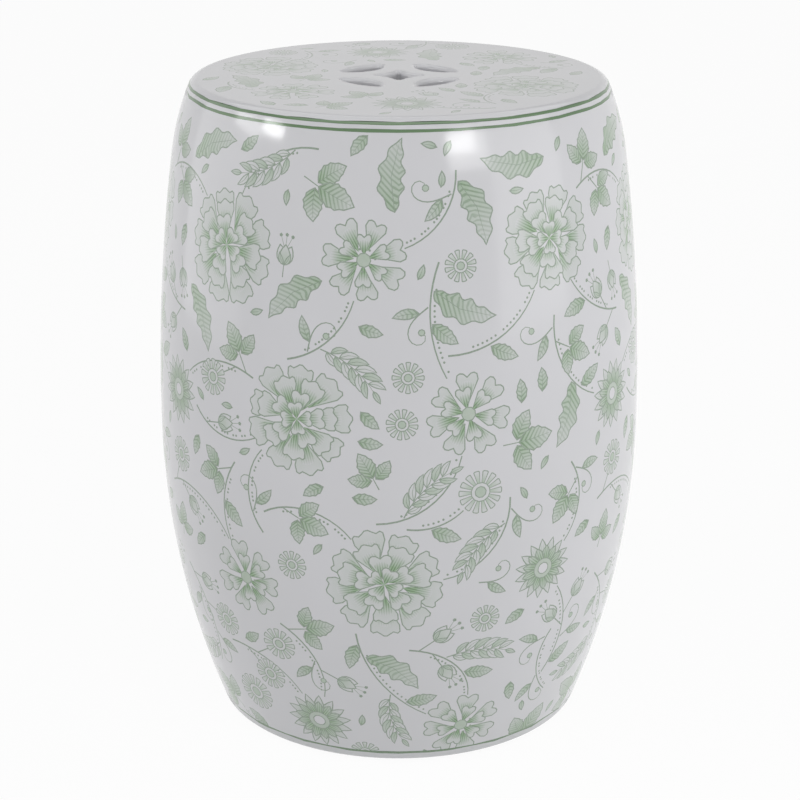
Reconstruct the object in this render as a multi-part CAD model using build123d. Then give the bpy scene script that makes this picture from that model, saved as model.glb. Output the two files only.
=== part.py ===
from build123d import *

import math
import os

# A barrel-shaped garden stool in glazed stoneware. Two castings, the barrel wall and the seat slab,
# are luted together with slip below the shoulder and fired as one. Soft pads sit under the foot.
# Frame: +Z up, origin on the floor at the centre of the foot. All sizes are in millimetres.

# Barrel outline: height, belly, and how far the wall draws in from the belly at the foot and the shoulder
BODY_HEIGHT = 450.0
BELLY_RADIUS = 168.5
BELLY_HEIGHT = 210.0
FOOT_INSET = 38.5
SHOULDER_INSET = 13.7
SHOULDER_DROP = 49.0
SHOULDER_CURVE = 175.0
SEAT_EDGE_RADIUS = 7.4
FOOT_EDGE_RADIUS = 2.5

# Clay thicknesses
WALL = 7.0
SEAT_THICKNESS = 9.0
FOOT_WIDTH = 20.0
FOOT_THICKNESS = 10.0
INNER_CORNER_RADIUS = 4.0

# Luted joint between the seat slab and the barrel wall
JOINT_DROP = 16.0
SPIGOT_DEPTH = 6.0
SPIGOT_THICKNESS = 5.0
SPIGOT_LEAD = 1.0
SLIP_GAP = 0.3

# Pierced coin in the seat: four lens slots around a four-pointed star
COIN_RADIUS = 41.0
SLOT_COUNT = 4
SLOT_SPAN_DEG = 56.0
SLOT_INNER_RADIUS = 26.0
SLOT_TIP_RADIUS = 2.0
STAR_TIP_RADIUS = 18.0
STAR_WAIST_RADIUS = 9.0
STAR_TIP_ROUND = 1.2
PIERCED_EDGE_RADIUS = 1.5

# Pads stuck under the foot
PAD_COUNT = 4
PAD_RADIUS = 5.5
PAD_THICKNESS = 2.5
PAD_EDGE_RADIUS = 0.6

# Radii that follow from the belly
FOOT_RADIUS = BELLY_RADIUS - FOOT_INSET
SHOULDER_RADIUS = BELLY_RADIUS - SHOULDER_INSET

# Heights above the floor
FOOT_Z = PAD_THICKNESS
SEAT_Z = FOOT_Z + BODY_HEIGHT
BELLY_Z = FOOT_Z + BELLY_HEIGHT
SHOULDER_Z = SEAT_Z - SHOULDER_DROP
JOINT_Z = SEAT_Z - JOINT_DROP
SEAT_UNDERSIDE_Z = SEAT_Z - SEAT_THICKNESS
FOOT_TOP_Z = FOOT_Z + FOOT_THICKNESS


def arc_radius(rise, inset):
    """Radius of an arc that starts upright and moves in by inset over rise."""
    return (rise**2 + inset**2) / (2 * inset)


LOWER_ARC = arc_radius(BELLY_HEIGHT, FOOT_INSET)
UPPER_ARC = arc_radius(SHOULDER_Z - BELLY_Z, SHOULDER_INSET)

# The shoulder arc leaves the upper barrel arc at a tangent, so its centre lies on the same normal
SHOULDER_NORMAL_R = (UPPER_ARC - SHOULDER_INSET) / UPPER_ARC
SHOULDER_NORMAL_Z = (SHOULDER_Z - BELLY_Z) / UPPER_ARC
SHOULDER_CENTRE_R = SHOULDER_RADIUS - SHOULDER_CURVE * SHOULDER_NORMAL_R
SHOULDER_CENTRE_Z = SHOULDER_Z - SHOULDER_CURVE * SHOULDER_NORMAL_Z


def lower_radius(z, inset):
    """Radius of the lower barrel arc at height z, moved in by inset along its normal."""
    return BELLY_RADIUS - LOWER_ARC + math.sqrt((LOWER_ARC - inset) ** 2 - (z - BELLY_Z) ** 2)


def shoulder_radius(z, inset):
    """Radius of the shoulder arc at height z, moved in by inset along its normal."""
    return SHOULDER_CENTRE_R + math.sqrt((SHOULDER_CURVE - inset) ** 2 - (z - SHOULDER_CENTRE_Z) ** 2)


def barrel_section(inset, low_z, high_z):
    """Half section from the axis to the barrel outline, moved in by inset, between two heights."""
    belly = (BELLY_RADIUS - inset, BELLY_Z)
    shoulder = (
        SHOULDER_RADIUS - inset * SHOULDER_NORMAL_R,
        SHOULDER_Z - inset * SHOULDER_NORMAL_Z,
    )
    low = (lower_radius(low_z, inset), low_z)
    high = (shoulder_radius(high_z, inset), high_z)
    middle_z = (BELLY_Z + shoulder[1]) / 2
    middle_r = BELLY_RADIUS - UPPER_ARC + math.sqrt((UPPER_ARC - inset) ** 2 - (middle_z - BELLY_Z) ** 2)
    lower_z = (low_z + BELLY_Z) / 2
    upper_z = (shoulder[1] + high_z) / 2
    edges = [
        Line((0, low_z), low),
        ThreePointArc(low, (lower_radius(lower_z, inset), lower_z), belly),
        ThreePointArc(belly, (middle_r, middle_z), shoulder),
        ThreePointArc(shoulder, (shoulder_radius(upper_z, inset), upper_z), high),
        Line(high, (0, high_z)),
        Line((0, high_z), (0, low_z)),
    ]
    return Plane.XZ * make_face(edges)


def turned(section):
    """Solid made by turning a half section about the Z axis."""
    return revolve(section, axis=Axis.Z)


def barrel_form():
    """Outside of the whole stool, from the foot face to the seat face, with its two edges rounded."""
    form = turned(barrel_section(0, FOOT_Z, SEAT_Z))
    rims = form.edges().filter_by(GeomType.CIRCLE).sort_by(Axis.Z)
    form = fillet(rims[-1], SEAT_EDGE_RADIUS)
    rims = form.edges().filter_by(GeomType.CIRCLE).sort_by(Axis.Z)
    return fillet(rims[0], FOOT_EDGE_RADIUS)


def below_joint():
    """Block that holds everything under the luted joint."""
    return Pos(0, 0, FOOT_Z) * extrude(Circle(2 * BELLY_RADIUS), JOINT_Z - FOOT_Z)


def barrel_wall():
    """Barrel casting: bellied wall with a turned-in foot, open at the top and at the bottom."""
    hollow = turned(barrel_section(WALL, FOOT_TOP_Z, JOINT_Z))
    rims = hollow.edges().filter_by(GeomType.CIRCLE).sort_by(Axis.Z)
    hollow = fillet(rims[0], INNER_CORNER_RADIUS)
    wall = (barrel_form() & below_joint()) - hollow
    wall -= Pos(0, 0, FOOT_Z) * extrude(Circle(FOOT_RADIUS - FOOT_WIDTH), FOOT_THICKNESS)
    opening = wall.faces().filter_by(GeomType.CYLINDER)
    return fillet(opening.edges().filter_by(GeomType.CIRCLE), FOOT_EDGE_RADIUS)


def lens_slot(angle_deg):
    """Lens-shaped slot: its outer side on the coin's circle, its inner side bowed towards the centre."""
    half = math.radians(SLOT_SPAN_DEG / 2)
    tip_r = COIN_RADIUS * math.cos(half)
    tip_t = COIN_RADIUS * math.sin(half)
    sides = [
        ThreePointArc((tip_r, -tip_t), (COIN_RADIUS, 0), (tip_r, tip_t)),
        ThreePointArc((tip_r, tip_t), (SLOT_INNER_RADIUS, 0), (tip_r, -tip_t)),
    ]
    slot = make_face(sides)
    slot = fillet(slot.vertices(), SLOT_TIP_RADIUS)
    return Rot(0, 0, angle_deg) * slot


def coin_star():
    """Four-pointed star with hollow sides, its tips between the slots."""
    step = 360.0 / SLOT_COUNT
    sides = []
    for index in range(SLOT_COUNT):
        start, middle, end = (
            (radius * math.cos(math.radians(angle)), radius * math.sin(math.radians(angle)))
            for radius, angle in (
                (STAR_TIP_RADIUS, (index - 0.5) * step),
                (STAR_WAIST_RADIUS, index * step),
                (STAR_TIP_RADIUS, (index + 0.5) * step),
            )
        )
        sides.append(ThreePointArc(start, middle, end))
    star = make_face(sides)
    return fillet(star.vertices(), STAR_TIP_ROUND)


def seat_slab():
    """Seat casting: a shallow cap with the pierced coin, and a spigot that drops into the barrel."""
    spigot_outer = shoulder_radius(JOINT_Z, WALL) - SLIP_GAP
    spigot_inner = spigot_outer - SPIGOT_THICKNESS
    recess = Pos(0, 0, JOINT_Z) * extrude(Circle(spigot_inner), SEAT_UNDERSIDE_Z - JOINT_Z)
    recess = fillet(recess.edges().group_by(Axis.Z)[-1], INNER_CORNER_RADIUS)
    spigot = extrude(Circle(spigot_outer) - Circle(spigot_inner), SPIGOT_DEPTH)
    spigot = Pos(0, 0, JOINT_Z - SPIGOT_DEPTH) * spigot
    spigot = chamfer(spigot.edges().group_by(Axis.Z)[0].sort_by(SortBy.RADIUS)[-1], SPIGOT_LEAD)
    cap = (barrel_form() - below_joint() - recess) + spigot
    slots = [lens_slot(index * 360.0 / SLOT_COUNT) for index in range(SLOT_COUNT)]
    for outline in (*slots, coin_star()):
        cap -= Pos(0, 0, SEAT_UNDERSIDE_Z) * extrude(outline, SEAT_THICKNESS)
    faces = cap.faces().filter_by(Plane.XY).sort_by(Axis.Z)
    pierced = [edge for wire in faces[-1].inner_wires() for edge in wire.edges()]
    return fillet(pierced, PIERCED_EDGE_RADIUS)


def foot_pad(index):
    """Soft round pad under the middle of the foot's flat face, on the floor."""
    flat_inner = FOOT_RADIUS - FOOT_WIDTH + FOOT_EDGE_RADIUS
    flat_outer = FOOT_RADIUS - FOOT_EDGE_RADIUS
    pad = extrude(Circle(PAD_RADIUS), PAD_THICKNESS)
    pad = fillet(pad.edges().group_by(Axis.Z)[0], PAD_EDGE_RADIUS)
    return Rot(0, 0, index * 360.0 / PAD_COUNT) * Pos((flat_inner + flat_outer) / 2, 0, 0) * pad


def main():
    pieces = {"barrel_wall": barrel_wall(), "seat_slab": seat_slab()}
    for index in range(PAD_COUNT):
        pieces[f"foot_pad_{index + 1}"] = foot_pad(index)
    os.makedirs("parts", exist_ok=True)
    for name, piece in pieces.items():
        export_step(piece, f"parts/{name}.step")


main()
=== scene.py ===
import math
import random
from collections import namedtuple

import bpy
import numpy as np
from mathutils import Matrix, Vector
from mathutils.geometry import delaunay_2d_cdt


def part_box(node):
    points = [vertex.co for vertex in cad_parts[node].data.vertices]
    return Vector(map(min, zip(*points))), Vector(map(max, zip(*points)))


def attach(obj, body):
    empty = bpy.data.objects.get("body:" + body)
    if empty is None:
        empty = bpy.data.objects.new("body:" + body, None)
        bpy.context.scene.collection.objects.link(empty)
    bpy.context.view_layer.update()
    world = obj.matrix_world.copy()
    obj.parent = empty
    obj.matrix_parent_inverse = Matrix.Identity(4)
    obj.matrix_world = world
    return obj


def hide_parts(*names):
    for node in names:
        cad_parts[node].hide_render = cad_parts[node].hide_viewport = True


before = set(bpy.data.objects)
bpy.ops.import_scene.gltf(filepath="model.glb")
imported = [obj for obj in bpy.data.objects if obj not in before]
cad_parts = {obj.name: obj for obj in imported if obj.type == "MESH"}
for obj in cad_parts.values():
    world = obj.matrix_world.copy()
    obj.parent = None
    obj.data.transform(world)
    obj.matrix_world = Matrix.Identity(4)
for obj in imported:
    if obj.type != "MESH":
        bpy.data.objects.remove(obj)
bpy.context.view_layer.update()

# Barrel wall: the slip-cast body, white stoneware under a clear glossy glaze. Its outline is a run of
# arcs from the foot over the belly to the shoulder. A transfer print in sage green goes on under the
# glaze as three equal sheets, a painted line closes it at the foot, and the foot face is wiped bare.
MM = 0.001
FOOT_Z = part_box("barrel_wall")[0].z / MM
JOINT_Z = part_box("barrel_wall")[1].z / MM
SEAT_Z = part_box("seat_slab")[1].z / MM
BELLY_RADIUS = 168.5
BELLY_HEIGHT = 210.0
BELLY_Z = FOOT_Z + BELLY_HEIGHT
FOOT_INSET = 38.5
SHOULDER_INSET = 13.7
SHOULDER_DROP = 49.0
SHOULDER_Z = SEAT_Z - SHOULDER_DROP
SHOULDER_CURVE = 175.0
SEAT_EDGE_RADIUS = 7.4
FOOT_EDGE_RADIUS = 2.5
WALL = 7.0
FOOT_OPENING_RADIUS = 110.0
FOOT_THICKNESS = 10.0
FOOT_TOP_Z = FOOT_Z + FOOT_THICKNESS
INNER_CORNER_RADIUS = 4.0
OUTLINE_POINTS = 4000
TOUCH = 1e-6

Arc = namedtuple("Arc", "r z size start end")


def angle_at(arc, z, inset=0.0):
    """Angle on an arc, moved in by inset, at which it has the height z."""
    return math.asin((z - arc.z) / (arc.size - inset))


def arc_length(arc):
    return arc.size * (arc.end - arc.start)


def edge_arc(arc, inset, size, face_z, up):
    """The rounding between a level face and the moved-in arc, tangent to both; up is 1 above the face."""
    angle = angle_at(arc, face_z + up * size, inset + size)
    ends = (-math.pi / 2, angle) if up > 0 else (angle, math.pi / 2)
    return Arc(arc.r + (arc.size - inset - size) * math.cos(angle), face_z + up * size, size, *ends)


def barrel_arc(rise, inset):
    """An arc that is upright at the belly and draws in by inset over rise."""
    size = (rise**2 + inset**2) / (2 * inset)
    return Arc(BELLY_RADIUS - size, BELLY_Z, size, 0.0, math.asin(rise / size))


lower = barrel_arc(FOOT_Z - BELLY_Z, FOOT_INSET)
upper = barrel_arc(SHOULDER_Z - BELLY_Z, SHOULDER_INSET)
tightening = upper.size - SHOULDER_CURVE
shoulder = Arc(
    upper.r + tightening * math.cos(upper.end),
    upper.z + tightening * math.sin(upper.end),
    SHOULDER_CURVE, upper.end, 0.0,
)
foot_edge = edge_arc(lower, 0.0, FOOT_EDGE_RADIUS, FOOT_Z, 1)
seat_edge = edge_arc(shoulder, 0.0, SEAT_EDGE_RADIUS, SEAT_Z, -1)
outline = (
    foot_edge,
    lower._replace(start=foot_edge.end, end=0.0),
    upper,
    shoulder._replace(end=seat_edge.start),
    seat_edge,
)


def on_outline(v):
    """Radius, height and normal at the distances v along the outline, counted from the foot face."""
    v = np.asarray(v, float)
    rows = np.zeros((len(v), 4))
    begin = 0.0
    for arc in outline:
        here = v >= begin - TOUCH
        angle = arc.start + (v[here] - begin) / arc.size
        c, s = np.cos(angle), np.sin(angle)
        rows[here] = np.stack([arc.r + arc.size * c, arc.z + arc.size * s, c, s], axis=1)
        begin += arc_length(arc)
    return rows


outline_length = sum(arc_length(arc) for arc in outline)
outline_steps = np.linspace(0, outline_length, OUTLINE_POINTS)
outline_rows = on_outline(outline_steps)


def height_on_outline(z):
    """Distance along the outline at which it reaches the height z."""
    return float(np.interp(z, outline_rows[:, 1], outline_steps))


# The print is drawn on the flat, in millimetres of the sheet. A mark is a filled outline: drawn line or
# wash, where the wash runs evenly from base to tip. Later marks lie over earlier ones. A wash may be combed
# with so many fine lines to the millimetre: along it, or as a leaf's veins that lean out from its midrib.
Mark = namedtuple("Mark", "points line wash base tip comb lean", defaults=(0.0, 0.0))
NO_WASH = (0.0, 0.0)
PEN = 0.85
FINE_PEN = 0.7
PEN_INK = 0.68
STEM_INK = 0.7
MITRE = 1.5


def polar(r, a):
    return r * math.cos(a), r * math.sin(a)


def bent(x, y, length, bend):
    """A point of a straight form, carried onto a midrib that turns by bend over its length."""
    if not bend:
        return x, y
    r = length / bend
    return (r - y) * math.sin(x / r), r - (r - y) * math.cos(x / r)


def placed(marks, x, y, turn=0.0, stretch=1.0):
    """Marks turned, stretched across the sheet and moved to x, y."""
    c, s = math.cos(turn), math.sin(turn)

    def move(p):
        return x + (p[0] * c - p[1] * s) * stretch, y + p[0] * s + p[1] * c

    return [
        m._replace(points=[move(p) for p in m.points], base=move(m.base), tip=move(m.tip)) for m in marks
    ]


def turning(loop):
    """Twice the area in a closed outline, which is positive where the outline runs anticlockwise."""
    return sum(a[0] * b[1] - b[0] * a[1] for a, b in zip(loop, loop[1:] + loop[:1]))


def drawn_in(points, pen):
    """The outline moved inwards by the width of the pen."""
    pen = math.copysign(pen, turning(points))
    moved = []
    for i, (x, y) in enumerate(points):
        (ax, ay), (bx, by) = points[i - 1], points[(i + 1) % len(points)]
        before = math.hypot(x - ax, y - ay)
        after = math.hypot(bx - x, by - y)
        nx = -(y - ay) / before - (by - y) / after
        ny = (x - ax) / before + (bx - x) / after
        size = math.hypot(nx, ny)
        reach = pen * min(2 / size, MITRE) / size
        moved.append((x + nx * reach, y + ny * reach))
    return moved


def outlined(points, wash, base, tip, pen=PEN, comb=0.0, lean=0.0):
    """A shape with a drawn outline and a wash that runs from base to tip."""
    drawn = Mark(points, PEN_INK, NO_WASH, base, tip)
    return [drawn, Mark(drawn_in(points, pen), 0.0, wash, base, tip, comb, lean)]


def stroke(path, wide, narrow):
    """A drawn line along path that tapers from wide to narrow."""
    left, right = [], []
    for i, (x, y) in enumerate(path):
        (ax, ay), (bx, by) = path[max(i - 1, 0)], path[min(i + 1, len(path) - 1)]
        run = math.hypot(bx - ax, by - ay)
        half = (wide + (narrow - wide) * i / (len(path) - 1)) / 2
        left.append((x - (by - ay) / run * half, y + (bx - ax) / run * half))
        right.append((x + (by - ay) / run * half, y - (bx - ax) / run * half))
    return [Mark(right + left[::-1], STEM_INK, NO_WASH, path[0], path[-1])]


def ring(r, sides, x=0.0, y=0.0):
    turns = [math.tau * i / sides for i in range(sides)]
    return [(x + r * math.cos(a), y + r * math.sin(a)) for a in turns]


def dot(x, y, r):
    return [Mark(ring(r, 5, x, y), STEM_INK, NO_WASH, (x, y), (x, y))]


def disc(r, wash, sides):
    return outlined(ring(r, sides), (wash, wash), (0, 0), (r, 0), FINE_PEN)


# Flowers. Sizes inside a motif are shares of its own radius or length.
SCALLOP = 0.15
LOBE_ROUND = 0.7
SIDE_ROUND = 0.42
HEART_REACH = 0.72
HEART_SPREAD = 0.82
RIM_WASH = 0.4
RIM_TIP_WASH = 0.12
PETAL_COMB = 0.6
SIZE_VARIES = 0.06
LEAN_VARIES = 0.08


def fan(reach, spread, lobes, depth, corner=5.0):
    """Outline of a scalloped petal with its point at the origin; a higher corner makes it squarer."""
    steps = 3 * lobes + 4
    points = [(0.0, 0.0)]
    for i in range(1, steps):
        s = 2 * i / steps - 1
        scallop = 1 - depth * (1 - abs(math.sin(math.pi * lobes * (s + 1) / 2)) ** LOBE_ROUND)
        points.append(polar(reach * scallop * (1 - abs(s) ** corner) ** SIDE_ROUND, s * spread))
    return points


def petal(reach, spread, lobes, wash):
    """A scalloped petal: a pale rim and a washed heart with fine lines along it."""
    edge = fan(reach, spread, lobes, SCALLOP)
    rim = outlined(edge, (RIM_WASH * wash[0], RIM_TIP_WASH), (0.2 * reach, 0), (reach, 0))
    heart = fan(HEART_REACH * reach, HEART_SPREAD * spread, 1, SCALLOP)
    return rim + [Mark(heart, 0.0, wash, (0.25 * reach, 0), (0.7 * reach, 0), PETAL_COMB)]


def bloom(r, rings, draw):
    """Rings of petals, laid from the outside in: each with its count, the radius at which it starts, the
    reach, spread and lobes of a petal, and its wash."""
    marks = []
    for count, start, reach, spread, lobes, wash in rings:
        turn = draw.random()
        for k in range(count):
            a = math.tau * (k + turn) / count
            size = r * reach * draw.uniform(1 - SIZE_VARIES, 1 + SIZE_VARIES)
            lean = draw.uniform(-LEAN_VARIES, LEAN_VARIES)
            marks += placed(petal(size, spread, lobes, wash), *polar(r * start, a), a + lean)
    return marks


def peony(r, draw):
    rings = (
        (9, 0.30, 0.70, 0.58, 3, (1.5, 0.1)),
        (7, 0.18, 0.60, 0.60, 3, (1.5, 0.15)),
        (5, 0.08, 0.46, 0.68, 2, (1.5, 0.2)),
        (4, 0.0, 0.32, 0.80, 2, (1.5, 0.25)),
    )
    return bloom(r, rings, draw)


def open_flower(r, draw):
    """Two rings of petals round a disc, with a ring of stamens."""
    stamens = 7
    rings = ((7, 0.22, 0.78, 0.56, 2, (1.4, 0.1)), (6, 0.10, 0.56, 0.58, 2, (1.5, 0.15)))
    marks = bloom(r, rings, draw) + disc(0.18 * r, 0.8, 9)
    for k in range(stamens):
        marks += dot(*polar(0.27 * r, math.tau * k / stamens), 0.028 * r + 0.15)
    return marks


def sun_daisy(r, draw):
    """Two rings of pointed petals round a disc with a bare eye."""
    marks = []
    root = 0.22 * r
    for count, reach, wash in ((15, 1.0, (0.7, 0.0)), (13, 0.76, (1.2, 0.1))):
        turn = draw.random()
        for k in range(count):
            edge = blade(r * reach - root, r * 0.32, 5)
            body = outlined(edge, wash, (0.1 * r, 0), (0.75 * r, 0), PEN, PETAL_COMB)
            a = math.tau * (k + turn) / count
            marks += placed(body, *polar(root, a), a)
    return marks + disc(0.34 * r, 0.7, 14) + disc(0.2 * r, 0.0, 10)


def daisy(r, petals):
    """A small daisy, with its petals cut square."""
    marks = []
    for k in range(petals):
        edge = fan(r, math.pi / petals, 1, 0.0, 7.0)
        body = outlined(edge, (1.0, 0.1), (0.35 * r, 0), (0.95 * r, 0), FINE_PEN)
        marks += placed(body, 0, 0, math.tau * k / petals)
    return marks + disc(0.46 * r, 0.1, 12) + disc(0.28 * r, 0.8, 9)


# Leaves, buds and stems.
VEIN_LEAN = 0.8
BLADE_ROUND = 0.85
TOOTH_FOOT = 0.82
TOOTH_DEPTH = 0.3
WAVE_DEPTH = 0.2
DOT_GAP = 4.0
DOT_ASIDE = 3.0
DOT_RADIUS = 0.9


def blade(length, width, steps, bend=0.0, teeth=0, waves=0):
    """Outline of a leaf with its stalk at the origin; teeth cut a saw edge, waves a wavy one."""
    left, right = [], []
    for i in range(1, steps):
        s = i / steps
        half = width / 2 * math.sin(math.pi * s**BLADE_ROUND) ** BLADE_ROUND
        if teeth:
            half *= TOOTH_FOOT + TOOTH_DEPTH * (1 - (s * teeth) % 1.0)
        if waves:
            half *= 1 + WAVE_DEPTH * math.sin(math.tau * waves * s)
        left.append(bent(length * s, half, length, bend))
        right.append(bent(length * s, -half, length, bend))
    return [(0.0, 0.0)] + right + [bent(length, 0, length, bend)] + left[::-1]


def leaf(length, width, wash, bend=0.0, teeth=0, veins=0, waves=0, pen=PEN):
    """A leaf with its midrib and a number of veins on either side."""
    steps = max(5, 2 * teeth, 6 * waves)
    end = bent(length, 0, length, bend)
    edge = blade(length, width, steps, bend, teeth, waves)
    midrib = stroke([bent(length * s, 0, length, bend) for s in (0, 0.45, 0.9)], 0.55, 0.2)
    return outlined(edge, wash, (0, 0), end, pen, veins / length, VEIN_LEAN) + midrib


def leaf_trio(length):
    """Three saw-edged leaves on one stalk."""
    marks = stroke([(-0.35 * length, 0), (0.1 * length, 0)], 0.8, 0.6)
    for turn, share, bend in ((1.25, 0.82, -0.35), (-1.25, 0.82, 0.35), (0.0, 1.0, 0.12)):
        size = share * length
        side = leaf(size, 0.58 * size, (1.3, 0.2), bend, teeth=5, veins=8)
        marks += placed(side, *polar(0.06 * length, turn), turn)
    return marks


def bud(length):
    """A closed bud in a pair of sepals, with a tuft of stamens."""
    marks = stroke([(-0.4 * length, 0), (0, 0)], 0.75, 0.6)
    for a in (-0.45, 0.0, 0.45):
        x, y = 0.6 * length + 0.44 * length * math.cos(a), 0.52 * length * math.sin(a)
        marks += stroke([(0.5 * length, 0), (x, y)], 0.45, 0.3) + dot(x, y, 0.07 * length)
    for a, wash in ((0.32, (0.4, 0.0)), (-0.32, (0.4, 0.0)), (0.0, (0.9, 0.15))):
        body = outlined(blade(0.74 * length, 0.44 * length, 5), wash, (0, 0), (0.7 * length, 0))
        marks += placed(body, 0, 0, a)
    for side in (1, -1):
        sepal = leaf(0.5 * length, 0.19 * length, (0.9, 0.5), -0.6 * side, pen=FINE_PEN)
        marks += placed(sepal, 0, 0, 0.75 * side)
    return marks


def spray(length, bend):
    """A feathery spray: narrow leaves in pairs along a bent stem, washed and bare by turns."""
    pairs = 6

    def on_stem(share):
        return bent(length * share, 0, length, bend)

    marks = stroke([on_stem(i / pairs) for i in range(pairs + 1)], 0.85, 0.3)
    for k in range(pairs):
        s = 0.12 + 0.8 * k / pairs
        size = length * 0.3 * (0.5 + 0.6 * math.sin(math.pi * (0.15 + 0.75 * s)))
        for side in (1, -1):
            wash = (0.95, 0.35) if (k + (side > 0)) % 2 else (0.3, 0.0)
            frond = leaf(size, size * 0.38, wash, -0.8 * side, pen=FINE_PEN)
            marks += placed(frond, *on_stem(s + 0.03 * side), bend * s + 0.95 * side)
    end = leaf(length * 0.22, length * 0.09, (0.9, 0.3), pen=FINE_PEN)
    return marks + placed(end, *on_stem(0.94), bend)


def tendril(length, side):
    """A curling shoot with a leaf near its root and a berry at its tip."""
    steps = 14
    path, heading = [(0.0, 0.0)], 0.0
    for i in range(1, steps + 1):
        (x, y), (across, up) = path[-1], polar(length / steps, heading)
        path.append((x + across, y + up))
        heading += side * 0.95 * (i / steps) ** 1.5
    berry = placed(disc(0.055 * length, 0.8, 8), *path[-1])
    side_leaf = leaf(0.42 * length, 0.17 * length, (1.1, 0.25), side * 0.5, veins=6)
    return stroke(path, 1.0, 0.5) + berry + placed(side_leaf, *path[2], -0.75 * side)


def dotted(path, side):
    """A row of dots that keeps to one side of a stem."""
    marks, run, aside = [], 0.0, DOT_ASIDE * side
    for (ax, ay), (bx, by) in zip(path, path[1:]):
        step = math.hypot(bx - ax, by - ay)
        run += step
        if run >= DOT_GAP:
            run -= DOT_GAP
            marks += dot(bx - (by - ay) / step * aside, by + (bx - ax) / step * aside, DOT_RADIUS)
    return marks


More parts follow.
